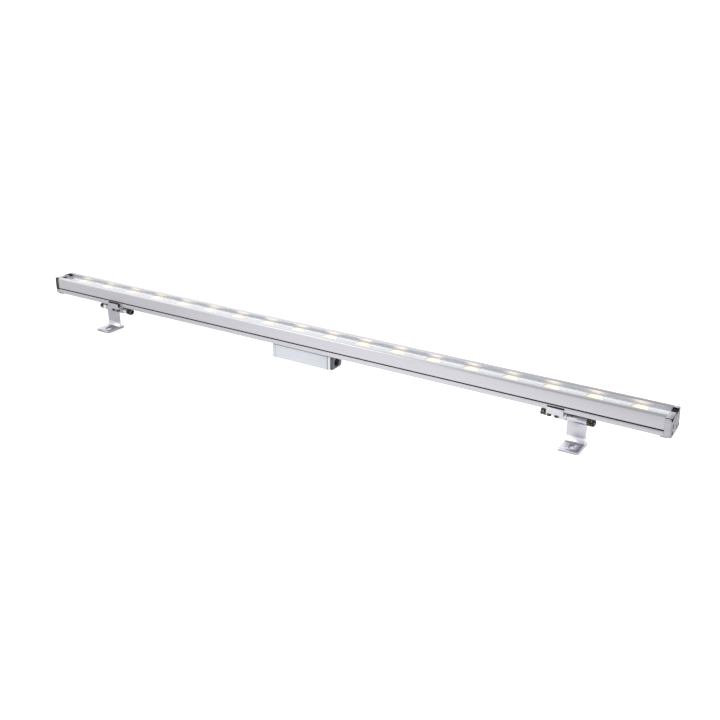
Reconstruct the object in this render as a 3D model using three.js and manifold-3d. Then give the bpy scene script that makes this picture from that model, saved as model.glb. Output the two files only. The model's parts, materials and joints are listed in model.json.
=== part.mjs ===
// Linear LED batten for stage and facade lighting, in millimetres.
// +X runs along the batten, -Y is its front and +Z is up. Light leaves through the top.
// The batten is an aluminium profile with a window, two end caps, a connector box under
// its middle and two foot brackets, each hinged on a clamp that slides along the profile.
// Heights are first measured from the top of the profile. The whole group is then lifted,
// so that the undersides of the feet lie at Z = 0 and the bounding box is centred in X and Y.

import * as THREE from 'three';
import { mergeVertices } from 'three/addons/utils/BufferGeometryUtils.js';
import Module from 'manifold-3d';

const wasm = await Module();
wasm.setup();

// ---------- Driving dimensions ----------

const GAP = 0.15;                 // between pieces that are fixed to each other
const SLIDE_GAP = 0.3;            // between pieces that move past each other
const SINK = 0.5;                 // overlap of two bodies that are joined into one

const LED_COUNT = 18;
const LED_PITCH = 55;
const LED_ROW_OFFSET = 0.6;       // middle of the LED row from the middle of the profile
const BOARD_COUNT = 2;

const BODY_LENGTH = 1024;
const BODY_HALF_WIDTH = 19.5;
const BODY_HEIGHT = 25.8;
const CAP_THICKNESS = 8.6;
const CAP_HEIGHT = 26.5;
const OUTER_CORNER = 1.5;         // radius of the profile's upper outer edges
const LIP_CORNER = 0.6;           // radius of the flange's edge beside the window

const WINDOW_HALF_OPENING = 12.3;
const WINDOW_DEPTH = 4.0;         // from the flange tops down to the window slot
const WINDOW_SLOT_HEIGHT = 3.4;
const WINDOW_SLOT_HALF_WIDTH = 14.6;
const CHAMBER_HALF_WIDTH = 13.6;
const CHAMBER_FLOOR = -15.4;

const GROOVE_TOP = -16.8;
const GROOVE_BOTTOM = -18.6;
const GROOVE_DEPTH = 2.4;

const T_NECK_HALF_WIDTH = 4.0;
const T_HEAD_HALF_WIDTH = 7.0;
const T_LIP = 1.8;
const T_HEAD_HEIGHT = 3.0;

const BOSS_Y = 14.2;              // screw holes for the end caps
const BOSS_Z = -21;
const BOSS_RADIUS = 1.7;

const PIVOT_Z = -38.5;
const PIVOT_RADIUS = 2.5;
const PIVOT_BORE_RADIUS = 2.6;
const BARREL_RADIUS = 5.2;
const BRACKET_WIDTH = 25.2;
const FOOT_BOTTOM = -72.6;
const FOOT_THICKNESS = 3.3;
const FOOT_FRONT = -28;
const FOOT_HEEL = 8.1;
const PLATE_FRONT = -1.2;
const PLATE_BACK = 1.0;
const SLOT_LENGTH = 14;
const SLOT_WIDTH = 5.6;
const SLOT_CENTRE_Y = -14.5;

const CLAMP_WIDTH = 22;
const JAW_OUTER = 22.2;
const JAW_THICKNESS = 1.5;
const JAW_TOP = -21.0;
const JAW_BOTTOM = -30.4;

// Clamp centre along the profile, and which way the foot lies from it.
const BRACKETS = [
  { name: 'right', centreX: 373.6, side: 1 },
  { name: 'left', centreX: -376.4, side: -1 },
];

const BOX_LEFT = -56;
const BOX_RIGHT = 35.4;
const BOX_HALF_WIDTH = 13.6;
const BOX_TOP = -28.6;
const BOX_BOTTOM = -49.4;
const BOX_WALL = 1.8;
const BOX_COVER_THICKNESS = 4.4;

const PROFILE_END = BODY_LENGTH / 2 - CAP_THICKNESS - GAP;

// ---------- Finishes ----------

const FINISHES = {
  anodised: { color: 0xc6c5cb, roughness: 0.42, metalness: 0.9 },
  castAluminium: { color: 0xb9b8be, roughness: 0.5, metalness: 0.85 },
  bracketAluminium: { color: 0xc9c8cc, roughness: 0.35, metalness: 0.9 },
  coatedBox: { color: 0xd0d4dc, roughness: 0.45, metalness: 0.5 },
  glass: { color: 0xeef2ee, roughness: 0.1, metalness: 0 },
  lensClear: { color: 0xfff4d8, roughness: 0.15, metalness: 0 },
  whitePlastic: { color: 0xececea, roughness: 0.5, metalness: 0 },
  blackRubber: { color: 0x1b1b1c, roughness: 0.85, metalness: 0 },
  blackPlastic: { color: 0x202124, roughness: 0.5, metalness: 0 },
  blackSteel: { color: 0x2a2623, roughness: 0.38, metalness: 0.85 },
  zincSteel: { color: 0xb5b5ba, roughness: 0.35, metalness: 0.9 },
  circuitBoard: { color: 0xe9e9e4, roughness: 0.5, metalness: 0 },
  greenBoard: { color: 0x2f6b45, roughness: 0.5, metalness: 0 },
};

// ---------- Solids ----------

function solidOf(geometry) {
  const bare = geometry.clone();
  bare.deleteAttribute('normal');
  bare.deleteAttribute('uv');
  const merged = mergeVertices(bare, 1e-4);
  return new wasm.Manifold(new wasm.Mesh({
    numProp: 3,
    vertProperties: new Float32Array(merged.attributes.position.array),
    triVerts: new Uint32Array(merged.index.array),
  }));
}

function geometryOf(solid) {
  const mesh = solid.getMesh();
  const geometry = new THREE.BufferGeometry();
  geometry.setAttribute('position', new THREE.BufferAttribute(mesh.vertProperties, 3));
  geometry.setIndex(new THREE.BufferAttribute(mesh.triVerts, 1));
  geometry.computeVertexNormals();
  return geometry;
}

function shapeOf(points, holes = []) {
  const shape = new THREE.Shape(points.map(([a, b]) => new THREE.Vector2(a, b)));
  for (const hole of holes) {
    shape.holes.push(new THREE.Path(hole.map(([a, b]) => new THREE.Vector2(a, b))));
  }
  return shape;
}

function extruded(shape, depth) {
  return new THREE.ExtrudeGeometry(shape, { depth, bevelEnabled: false, curveSegments: 1 });
}

// A section drawn in (y, z), running along X.
function prismX(points, x1, x2, holes = []) {
  const turn = new THREE.Matrix4().makeBasis(
    new THREE.Vector3(0, 1, 0), new THREE.Vector3(0, 0, 1), new THREE.Vector3(1, 0, 0));
  const geometry = extruded(shapeOf(points, holes), Math.abs(x2 - x1));
  return solidOf(geometry.applyMatrix4(turn).translate(Math.min(x1, x2), 0, 0));
}

// A section drawn in (x, z), running along Y.
function prismY(points, y1, y2) {
  const turn = new THREE.Matrix4().makeBasis(
    new THREE.Vector3(1, 0, 0), new THREE.Vector3(0, 0, 1), new THREE.Vector3(0, -1, 0));
  const geometry = extruded(shapeOf(points), Math.abs(y2 - y1));
  return solidOf(geometry.applyMatrix4(turn).translate(0, Math.max(y1, y2), 0));
}

// A section drawn in (x, y), running along Z.
function prismZ(points, z1, z2, holes = []) {
  const geometry = extruded(shapeOf(points, holes), Math.abs(z2 - z1));
  return solidOf(geometry.translate(0, 0, Math.min(z1, z2)));
}

function block([x1, x2], [y1, y2], [z1, z2]) {
  return prismZ(rectangle(x1, x2, y1, y2), z1, z2);
}

function rectangle(a1, a2, b1, b2) {
  const [lowA, highA] = [Math.min(a1, a2), Math.max(a1, a2)];
  return [[lowA, b1], [highA, b1], [highA, b2], [lowA, b2]];
}

function circle(a, b, radius, segments = 24) {
  const points = [];
  for (let i = 0; i < segments; i += 1) {
    const angle = (i / segments) * 2 * Math.PI;
    points.push([a + radius * Math.cos(angle), b + radius * Math.sin(angle)]);
  }
  return points;
}

// Points of an arc from one angle to another, in degrees, both ends included.
function arc(a, b, radius, from, to, steps) {
  const points = [];
  for (let i = 0; i <= steps; i += 1) {
    const angle = THREE.MathUtils.degToRad(from + ((to - from) * i) / steps);
    points.push([a + radius * Math.cos(angle), b + radius * Math.sin(angle)]);
  }
  return points;
}

// A rectangle with four corner radii, in the order low-low, high-low, high-high, low-high.
function roundedRectangle(a1, a2, b1, b2, [r1, r2, r3, r4], steps = 3) {
  return [
    ...arc(a1 + r1, b1 + r1, r1, 180, 270, steps),
    ...arc(a2 - r2, b1 + r2, r2, 270, 360, steps),
    ...arc(a2 - r3, b2 - r3, r3, 0, 90, steps),
    ...arc(a1 + r4, b2 - r4, r4, 90, 180, steps),
  ];
}

// A slot outline with round ends, running along the second coordinate.
function slotOutline(a, b, width, length, steps = 6) {
  const r = width / 2;
  const reach = length / 2 - r;
  return [...arc(a, b - reach, r, 180, 360, steps), ...arc(a, b + reach, r, 0, 180, steps)];
}

function mirroredSection(half) {
  return [...half, ...half.map(([y, z]) => [-y, z]).reverse()];
}

// A solid of revolution about X: the profile is a list of [x, radius].
function turnedX(profile, segments, y = 0, z = 0) {
  const lathe = new THREE.LatheGeometry(profile.map(([x, r]) => new THREE.Vector2(r, x)), segments);
  const turn = new THREE.Matrix4().makeBasis(
    new THREE.Vector3(0, 1, 0), new THREE.Vector3(1, 0, 0), new THREE.Vector3(0, 0, -1));
  return solidOf(lathe.applyMatrix4(turn).translate(0, y, z));
}

// ---------- Assembly helpers ----------

const batten = new THREE.Group();
batten.name = 'led_strip_batten';

function addMesh(parent, name, solid, finish) {
  const geometry = solid instanceof THREE.BufferGeometry ? solid : geometryOf(solid);
  const mesh = new THREE.Mesh(geometry, new THREE.MeshStandardMaterial(FINISHES[finish]));
  mesh.name = name;
  parent.add(mesh);
  return mesh;
}

// ---------- Profile ----------

const RAIL_CORNER = 2.2;
const T_CEILING = -BODY_HEIGHT + T_LIP + T_HEAD_HEIGHT;

function profileSection() {
  const slotTop = -WINDOW_DEPTH;
  const slotBottom = -WINDOW_DEPTH - WINDOW_SLOT_HEIGHT;
  const edge = BODY_HALF_WIDTH;
  return mirroredSection([
    [T_HEAD_HALF_WIDTH, T_CEILING],
    [T_HEAD_HALF_WIDTH, -BODY_HEIGHT + T_LIP],
    [T_NECK_HALF_WIDTH, -BODY_HEIGHT + T_LIP],
    [T_NECK_HALF_WIDTH, -BODY_HEIGHT],
    ...arc(edge - RAIL_CORNER, -BODY_HEIGHT + RAIL_CORNER, RAIL_CORNER, 270, 360, 4),
    [edge, GROOVE_BOTTOM],
    [edge - GROOVE_DEPTH, GROOVE_BOTTOM],
    [edge - GROOVE_DEPTH, GROOVE_TOP],
    [edge, GROOVE_TOP],
    ...arc(edge - OUTER_CORNER, -OUTER_CORNER, OUTER_CORNER, 0, 90, 4),
    ...arc(WINDOW_HALF_OPENING + LIP_CORNER, -LIP_CORNER, LIP_CORNER, 90, 180, 2),
    [WINDOW_HALF_OPENING, slotTop],
    [WINDOW_SLOT_HALF_WIDTH, slotTop],
    [WINDOW_SLOT_HALF_WIDTH, slotBottom],
    [CHAMBER_HALF_WIDTH, slotBottom],
    [CHAMBER_HALF_WIDTH, CHAMBER_FLOOR],
  ]);
}

function profile() {
  const [hollowIn, hollowOut] = [16.0, 17.8];
  const [hollowLow, hollowHigh] = [-14.4, -1.8];
  let body = prismX(profileSection(), -PROFILE_END, PROFILE_END);
  for (const side of [-1, 1]) {
    const past = PROFILE_END + 1;
    const hollow = rectangle(side * hollowIn, side * hollowOut, hollowLow, hollowHigh);
    body = body.subtract(prismX(circle(side * BOSS_Y, BOSS_Z, BOSS_RADIUS, 12), -past, past));
    body = body.subtract(prismX(hollow, -past, past));
  }
  return body;
}

function windowPane() {
  const y = WINDOW_SLOT_HALF_WIDTH - SLIDE_GAP;
  const x = PROFILE_END - GAP;
  const top = -WINDOW_DEPTH - GAP;
  const bottom = -WINDOW_DEPTH - WINDOW_SLOT_HEIGHT + GAP;
  return block([-x, x], [-y, y], [bottom, top]);
}

function windowGasket() {
  const outer = WINDOW_HALF_OPENING - GAP;
  const inner = outer - 0.9;
  const x = PROFILE_END - GAP;
  const bottom = -WINDOW_DEPTH;
  const hole = rectangle(-x + 1, x - 1, -inner, inner);
  return prismZ(rectangle(-x, x, -outer, outer), bottom, bottom + 0.7, [hole]);
}

// ---------- Light engine ----------

const LENS_RADIUS = 11;
const LENS_TOP = -7.9;
const LENS_BOTTOM = -12.3;
const BOARD_BOTTOM = CHAMBER_FLOOR + GAP;
const BOARD_THICKNESS = 1.6;
const CHIP_SIZE = 3.5;
const CHIP_HEIGHT = 0.8;

function ledX(index) {
  return LED_ROW_OFFSET + (index - (LED_COUNT - 1) / 2) * LED_PITCH;
}

function lensGeometry() {
  const profilePoints = [
    [0, LENS_BOTTOM + 1.3],
    [2.8, LENS_BOTTOM + 1.3],
    [3.2, LENS_BOTTOM],
    [5, LENS_BOTTOM],
    [LENS_RADIUS, LENS_TOP - 1],
    [LENS_RADIUS, LENS_TOP],
    [0, LENS_TOP],
  ];
  const points = profilePoints.map(([r, z]) => new THREE.Vector2(r, z));
  const lathe = new THREE.LatheGeometry(points, 16);
  const turn = new THREE.Matrix4().makeBasis(
    new THREE.Vector3(1, 0, 0), new THREE.Vector3(0, 0, 1), new THREE.Vector3(0, -1, 0));
  return geometryOf(solidOf(lathe.applyMatrix4(turn)));
}

function reflectorTray() {
  const x = PROFILE_END - 1;
  const y = CHAMBER_HALF_WIDTH - SLIDE_GAP;
  const holes = [];
  for (let i = 0; i < LED_COUNT; i += 1) {
    holes.push(circle(ledX(i), 0, LENS_RADIUS + 0.4, 20));
  }
  return prismZ(rectangle(-x, x, -y, y), LENS_BOTTOM + 0.2, LENS_TOP - 1.2, holes);
}

function ledBoard(boardIndex) {
  const perBoard = LED_COUNT / BOARD_COUNT;
  const first = boardIndex * perBoard;
  const start = ledX(first) - LED_PITCH / 2 + GAP;
  const end = ledX(first + perBoard - 1) + LED_PITCH / 2 - GAP;
  const top = BOARD_BOTTOM + BOARD_THICKNESS;
  let board = block([start, end], [-12, 12], [BOARD_BOTTOM, top]);
  for (let i = first; i < first + perBoard; i += 1) {
    const half = CHIP_SIZE / 2;
    const x = ledX(i);
    board = board.add(block([x - half, x + half], [-half, half], [top - SINK, top + CHIP_HEIGHT]));
  }
  return board;
}

// ---------- End caps ----------
// The cap is drawn for the +X end. The other end carries its mirror image.

const CAP_INNER = PROFILE_END + GAP;
const CAP_OUTER = BODY_LENGTH / 2;
const CAP_FLOOR = -4.2;           // floor of the pocket behind the bridge
const FILLER_TOP = -1.4;
const CAP_POCKET = 1.1;           // depth of the recess for the flat seal
const CAP_END_WALL = 1.0;
const CAP_CORNERS = [2.5, 8, OUTER_CORNER, 0.5];
const CAP_SIDE_CHAMFER = 1.8;
const CAP_DRAFT = 1.2;            // how far the end face leans in at the top
const CAP_DRAFT_HEIGHT = 16;
const BRIDGE_BACK = -1.7;         // the bridge runs from the front edge back to here
const BRIDGE_THICKNESS = 1.2;
const BRIDGE_GAP = 0.7;           // shadow gap under the bridge
const BRIDGE_OVERHANG = 1.2;
const RELIEF_DEPTH = 2.4;
const RELIEF_APEX = [-18.4, -6];
const SLOT_Y = -13.3;
const SLOT_Z = -12.9;
const SLOT_DEPTH = 3.2;
const TONGUE_REACH = 4.4;
const TONGUE_Y = [-17.6, -11];
const TONGUE_BOTTOM = -27.4;
const WIRING_OUTLINE = roundedRectangle(-11.5, 11.5, -13.5, -6.2, [1, 1, 1, 1], 2);
const SCREW_HOLE_RADIUS = 1.8;
const HEAD_RECESS_RADIUS = 3.1;
const HEAD_RECESS_DEPTH = 2.6;
const VENT_Y = 3.5;
const VENT_Z = -19.6;
const VENT_RADIUS = 2.4;
const GASKET_CORNERS = [1.2, 5.5, 0.8, 0.8];

// Everything that the outer edges of the end face lose: its draft and its side chamfers.
function capTrim() {
  const edge = BODY_HALF_WIDTH;
  const out = CAP_OUTER + 1;
  const draft = prismY([
    [CAP_OUTER - CAP_DRAFT, 0], [CAP_OUTER - CAP_DRAFT, 1], [out, 1], [out, -CAP_DRAFT_HEIGHT],
    [CAP_OUTER, -CAP_DRAFT_HEIGHT],
  ], -edge - 1, edge + 1);
  const inset = CAP_OUTER - CAP_SIDE_CHAMFER;
  const chamfer = prismZ(
    [[inset, edge], [CAP_OUTER, edge - CAP_SIDE_CHAMFER], [out, edge - CAP_SIDE_CHAMFER], [out, edge + 1],
      [inset, edge + 1]], -CAP_HEIGHT - 1, 1);
  return draft.add(chamfer).add(chamfer.mirror([0, 1, 0]));
}

// The gap under the bridge's front and end, with the wedge-shaped relief below it.
function bridgeGap() {
  const front = -BODY_HALF_WIDTH - 1;
  const low = -BRIDGE_THICKNESS - BRIDGE_GAP;
  const along = block([CAP_INNER - 1, CAP_OUTER + 1],
    [front, -BODY_HALF_WIDTH + BRIDGE_OVERHANG], [low, -BRIDGE_THICKNESS]);
  const across = block([CAP_OUTER - CAP_DRAFT - BRIDGE_OVERHANG, CAP_OUTER + 1],
    [front, BRIDGE_BACK - 2], [low, -BRIDGE_THICKNESS]);
  const relief = prismX([[front, low + 0.1], RELIEF_APEX, [BRIDGE_BACK - 4, low + 0.1]],
    CAP_OUTER - RELIEF_DEPTH, CAP_OUTER + 1);
  return along.add(across).add(relief);
}

function endCap() {
  const edge = BODY_HALF_WIDTH;
  const outline = roundedRectangle(-edge, edge, -CAP_HEIGHT, 0, CAP_CORNERS, 5);
  let cap = prismX(outline, CAP_INNER, CAP_OUTER).subtract(capTrim());
  cap = cap.subtract(block([CAP_INNER - 1, CAP_OUTER - CAP_DRAFT - CAP_END_WALL],
    [BRIDGE_BACK, WINDOW_HALF_OPENING], [CAP_FLOOR, 1]));
  cap = cap.subtract(prismX(gasketOutline(GAP), CAP_INNER - 1, CAP_INNER + CAP_POCKET));
  cap = cap.subtract(gasketNeck(CAP_INNER - 1, CAP_INNER + CAP_POCKET, 0));
  cap = cap.subtract(prismX(WIRING_OUTLINE, CAP_INNER, CAP_OUTER - 4));
  cap = cap.subtract(bridgeGap());
  // Tongue that laps under the profile at the front corner.
  cap = cap.add(block([CAP_INNER - TONGUE_REACH, CAP_INNER + CAP_THICKNESS / 2],
    TONGUE_Y, [TONGUE_BOTTOM, -BODY_HEIGHT - GAP]));
  cap = cap.subtract(prismX(slotOutline(SLOT_Y, SLOT_Z, 3.6, 6.8), CAP_OUTER - SLOT_DEPTH, CAP_OUTER + 1));
  // Screw holes with round recesses for the heads.
  for (const side of [-1, 1]) {
    const y = side * BOSS_Y;
    cap = cap.subtract(prismX(circle(y, BOSS_Z, SCREW_HOLE_RADIUS, 12), CAP_INNER - 1, CAP_OUTER + 1));
    cap = cap.subtract(prismX(circle(y, BOSS_Z, HEAD_RECESS_RADIUS, 20),
      CAP_OUTER - HEAD_RECESS_DEPTH, CAP_OUTER + 1));
  }
  return cap.subtract(ventHole());
}

function ventHole() {
  return prismX(circle(VENT_Y, VENT_Z, VENT_RADIUS + GAP, 16), CAP_INNER - 1, CAP_OUTER + 1);
}

// Outline of the flat seal, which stays below the window recess and inside the cap's corners.
function gasketOutline(grow) {
  const y = 17.8 + grow;
  const bottom = -24.2 - grow;
  const top = CAP_FLOOR - 1 + grow;
  return roundedRectangle(-y, y, bottom, top, GASKET_CORNERS.map((radius) => radius + grow), 4);
}

// The strip that joins the flat seal to the block in the cap's pocket.
function gasketNeck(inner, outer, gap) {
  return block([inner, outer], [BRIDGE_BACK + gap, WINDOW_HALF_OPENING - gap],
    [CAP_FLOOR - 2, CAP_FLOOR + 1]);
}

// A flat seal, and above it the rubber block that fills the pocket beside the window's end.
function endGasket() {
  const face = CAP_INNER + GAP;
  const back = CAP_INNER + CAP_POCKET - GAP;
  let gasket = prismX(gasketOutline(0), face, back);
  for (const side of [-1, 1]) {
    const hole = circle(side * BOSS_Y, BOSS_Z, SCREW_HOLE_RADIUS, 12);
    gasket = gasket.subtract(prismX(hole, face - 1, back + 1));
  }
  gasket = gasket.subtract(prismX(WIRING_OUTLINE, face - 1, back + 1));
  const filler = block([face, CAP_OUTER - CAP_DRAFT - CAP_END_WALL - GAP],
    [BRIDGE_BACK + GAP, WINDOW_HALF_OPENING - GAP], [CAP_FLOOR + GAP, FILLER_TOP]);
  return gasket.subtract(ventHole()).add(gasketNeck(face, back, GAP)).add(filler);
}

// Socket-head screw along X with its head towards +X, drawn with the head's seat at x = 0.
function capScrew() {
  const head = 2.3;
  const screw = turnedX([
    [-14, 0], [-14, 1.5], [0, 1.5], [0, 2.8], [head - 0.4, 2.8], [head, 2.4], [head, 0],
  ], 16);
  return screw.subtract(prismX(circle(0, 0, 1.5, 6), head - 1.4, head + 1));
}

function ventPlug() {
  const seat = CAP_OUTER - 5;
  const body = VENT_RADIUS - 0.1;
  const face = CAP_OUTER - 0.4;
  const dish = CAP_OUTER - 1.4;
  const plug = turnedX([[seat, 0], [seat, body], [face, body], [face, 1.5], [dish, 1.1], [dish, 0]],
    16, VENT_Y, VENT_Z);
  return plug.subtract(prismX(circle(VENT_Y, VENT_Z, 0.5, 8), dish - 1.6, dish + 1));
}

function addEnd(name, side) {
  const facing = (solid) => (side > 0 ? solid : solid.mirror([1, 0, 0]));
  addMesh(batten, `${name}_end_cap`, facing(endCap()), 'castAluminium');
  addMesh(batten, `${name}_end_gasket`, facing(endGasket()), 'blackRubber');
  const seat = CAP_OUTER - HEAD_RECESS_DEPTH + GAP;
  for (const [place, boss] of [['front', -1], ['rear', 1]]) {
    const screw = addMesh(batten, `${name}_cap_screw_${place}`, facing(capScrew()), 'blackSteel');
    screw.position.set(side * seat, boss * BOSS_Y, BOSS_Z);
  }
}

// ---------- Connector box ----------

function tKey(x1, x2, base) {
  const neck = T_NECK_HALF_WIDTH - SLIDE_GAP;
  const head = T_HEAD_HALF_WIDTH - SLIDE_GAP;
  const lipTop = -BODY_HEIGHT + T_LIP + SLIDE_GAP;
  return prismX([
    [-neck, base - SINK], [neck, base - SINK], [neck, lipTop], [head, lipTop],
    [head, T_CEILING - SLIDE_GAP], [-head, T_CEILING - SLIDE_GAP], [-head, lipTop], [-neck, lipTop],
  ], x1, x2);
}

const MOUNT_PLATE_TOP = -BODY_HEIGHT - GAP;

function boxMountPlate() {
  const outline = roundedRectangle(BOX_LEFT - 11, BOX_RIGHT + 3, -12, 12, [3, 3, 3, 3], 3);
  const plate = prismZ(outline, BOX_TOP + GAP, MOUNT_PLATE_TOP);
  return plate.add(tKey(BOX_LEFT, BOX_RIGHT, MOUNT_PLATE_TOP));
}

function boxHousing() {
  const y = BOX_HALF_WIDTH;
  const outer = roundedRectangle(-y, y, BOX_BOTTOM, BOX_TOP, [2, 2, 0.6, 0.6], 3);
  const hollow = rectangle(-y + BOX_WALL, y - BOX_WALL, BOX_BOTTOM + BOX_WALL, BOX_TOP - BOX_WALL);
  return prismX(outer, BOX_LEFT, BOX_RIGHT, [hollow]);
}

const CONNECTOR_Z = -39;
const CONNECTOR_RADIUS = 8;
const SOCKET_RADIUS = 6.6;
const CONNECTOR_DEPTH = 11;
const FLANGE_THICKNESS = 2.6;
const FLANGE_OUTLINE = roundedRectangle(-12.6, 12.6, -48.4, -29.4, [2, 4, 2, 2], 3);

function boxCover(x1, x2, hasConnector) {
  const y = BOX_HALF_WIDTH + 0.2;
  const outline = roundedRectangle(-y, y, BOX_BOTTOM - 0.2, BOX_TOP, [2.2, 2.2, 0.6, 0.6], 3);
  const holes = hasConnector ? [circle(0, CONNECTOR_Z, CONNECTOR_RADIUS + GAP, 24)] : [];
  return prismX(outline, x1, x2, holes);
}

const RIGHT_COVER_OUTER = BOX_RIGHT + GAP + BOX_COVER_THICKNESS;
const CONNECTOR_FACE = RIGHT_COVER_OUTER + GAP + FLANGE_THICKNESS;

function connectorShell() {
  const flange = prismX(FLANGE_OUTLINE, RIGHT_COVER_OUTER + GAP, CONNECTOR_FACE);
  const barrel = prismX(circle(0, CONNECTOR_Z, CONNECTOR_RADIUS, 24),
    CONNECTOR_FACE - CONNECTOR_DEPTH, CONNECTOR_FACE - SINK);
  const socket = prismX(circle(0, CONNECTOR_Z, SOCKET_RADIUS, 24),
    CONNECTOR_FACE - CONNECTOR_DEPTH - 1, CONNECTOR_FACE + 1);
  return flange.add(barrel).subtract(socket);
}

function connectorInsert() {
  const back = CONNECTOR_FACE - CONNECTOR_DEPTH;
  let insert = prismX(circle(0, CONNECTOR_Z, SOCKET_RADIUS - GAP, 24), back, back + 4);
  for (const angle of [90, 210, 330]) {
    const turn = THREE.MathUtils.degToRad(angle);
    const pin = circle(3 * Math.cos(turn), CONNECTOR_Z + 3 * Math.sin(turn), 0.8, 8);
    insert = insert.add(prismX(pin, back + 3, back + 6));
  }
  return insert;
}

const DRIVER_TOP = -41.4;
const DRIVER_THICKNESS = 1.6;
// Parts on the driver board: from, to, height.
const DRIVER_PARTS = [[-44, -30, 10], [-22, -12, 7], [-4, 6, 8.5], [12, 20, 5]];

function driverBoard() {
  let board = block([BOX_LEFT + 4, BOX_RIGHT - 12], [-11, 11], [DRIVER_TOP - DRIVER_THICKNESS, DRIVER_TOP]);
  for (const [x1, x2, height] of DRIVER_PARTS) {
    board = board.add(block([x1, x2], [-7, 7], [DRIVER_TOP - SINK, DRIVER_TOP + height]));
  }
  return board;
}

function addBox() {
  addMesh(batten, 'box_mount_plate', boxMountPlate(), 'anodised');
  addMesh(batten, 'box_housing', boxHousing(), 'coatedBox');
  const leftInner = BOX_LEFT - GAP;
  const leftOuter = leftInner - BOX_COVER_THICKNESS;
  addMesh(batten, 'box_cover_left', boxCover(leftOuter, leftInner, false), 'coatedBox');
  addMesh(batten, 'box_cover_right', boxCover(BOX_RIGHT + GAP, RIGHT_COVER_OUTER, true), 'coatedBox');
  addMesh(batten, 'connector_shell', connectorShell(), 'blackPlastic');
  addMesh(batten, 'connector_insert', connectorInsert(), 'blackPlastic');
  addMesh(batten, 'driver_board', driverBoard(), 'greenBoard');
}

// ---------- Clamps ----------
// Lengths along the profile are written for a clamp whose foot lies towards +X, from the
// clamp's centre, and are multiplied by the clamp's side.

const LINER_THICKNESS = 0.85;
const LINER_INNER = BODY_HALF_WIDTH + 0.2;
const LINER_OUTER = LINER_INNER + LINER_THICKNESS;
const LINER_TOP = JAW_TOP + 1.2;
const BASE_TOP = -BODY_HEIGHT - 0.2 - LINER_THICKNESS - GAP;
const BASE_BOTTOM = -31.4;
const JAW_FOOT_THICKNESS = 1.4;
const JAW_FOOT_BACK = -14;
const TOE_BOTTOM = JAW_BOTTOM + JAW_FOOT_THICKNESS + GAP;
const JAW_SCREW_Y = -18.4;
const JAW_SCREW_OFFSETS = [-8, 1.8];
const JAW_SCREW_HOLE_RADIUS = 1.7;
const KEY_HALF_LENGTH = 6;
const LUG_IN = -1;
const LUG_OUT = 10;
const BARREL_IN = LUG_OUT + SLIDE_GAP;
const BARREL_OUT = BARREL_IN + BRACKET_WIDTH;

function clampLiner() {
  const bottomTop = -BODY_HEIGHT - 0.2;
  const half = CLAMP_WIDTH / 2 - GAP;
  const liner = prismX([
    [-LINER_OUTER, LINER_TOP], [-LINER_OUTER, bottomTop - LINER_THICKNESS],
    [LINER_OUTER, bottomTop - LINER_THICKNESS], [LINER_OUTER, LINER_TOP],
    [LINER_INNER, LINER_TOP], [LINER_INNER, bottomTop],
    [-LINER_INNER, bottomTop], [-LINER_INNER, LINER_TOP],
  ], -half, half);
  const keyHole = KEY_HALF_LENGTH + SLIDE_GAP;
  const neck = T_NECK_HALF_WIDTH;
  return liner.subtract(block([-keyHole, keyHole], [-neck, neck], [BASE_TOP - 1, bottomTop + 1]));
}

function withJawScrewHoles(solid, side) {
  let cut = solid;
  for (const offset of JAW_SCREW_OFFSETS) {
    const hole = circle(side * offset, JAW_SCREW_Y, JAW_SCREW_HOLE_RADIUS, 12);
    cut = cut.subtract(prismZ(hole, JAW_BOTTOM - 1, BASE_TOP + 1));
  }
  return cut;
}

function rearJaw(side) {
  const half = CLAMP_WIDTH / 2;
  const front = -JAW_OUTER + JAW_THICKNESS + GAP;
  const inner = JAW_OUTER - JAW_THICKNESS;
  const step = JAW_FOOT_BACK + GAP;
  const bevel = 3;
  let jaw = prismX([
    [front, BASE_TOP], [front, TOE_BOTTOM], [step, TOE_BOTTOM], [step, BASE_BOTTOM],
    [JAW_OUTER - bevel, BASE_BOTTOM], [JAW_OUTER, BASE_BOTTOM + bevel], [JAW_OUTER, JAW_TOP],
    [inner, JAW_TOP], [inner, BASE_TOP],
  ], -half, half);
  jaw = withJawScrewHoles(jaw, side);
  jaw = jaw.add(tKey(-KEY_HALF_LENGTH, KEY_HALF_LENGTH, BASE_TOP));
  const lug = [
    [BARREL_RADIUS, PIVOT_Z],
    [BARREL_RADIUS, BASE_BOTTOM + SINK],
    [-BARREL_RADIUS, BASE_BOTTOM + SINK],
    ...arc(0, PIVOT_Z, BARREL_RADIUS, 180, 350, 10),
  ];
  jaw = jaw.add(prismX(lug, side * LUG_IN, side * LUG_OUT));
  return jaw.subtract(prismX(circle(0, PIVOT_Z, PIVOT_RADIUS + GAP, 20), -half - 1, half + 1));
}

// An angle whose foot is screwed up against the rear jaw's toe from below.
function frontJaw(side) {
  const half = CLAMP_WIDTH / 2;
  const inner = -JAW_OUTER + JAW_THICKNESS;
  const footTop = JAW_BOTTOM + JAW_FOOT_THICKNESS;
  return withJawScrewHoles(prismX([
    [-JAW_OUTER + 0.4, JAW_TOP], [-JAW_OUTER, JAW_TOP - 0.4], [-JAW_OUTER, JAW_BOTTOM + 1],
    [-JAW_OUTER + 1, JAW_BOTTOM], [JAW_FOOT_BACK, JAW_BOTTOM], [JAW_FOOT_BACK, footTop],
    [inner, footTop], [inner, JAW_TOP],
  ], -half, half), side);
}

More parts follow.
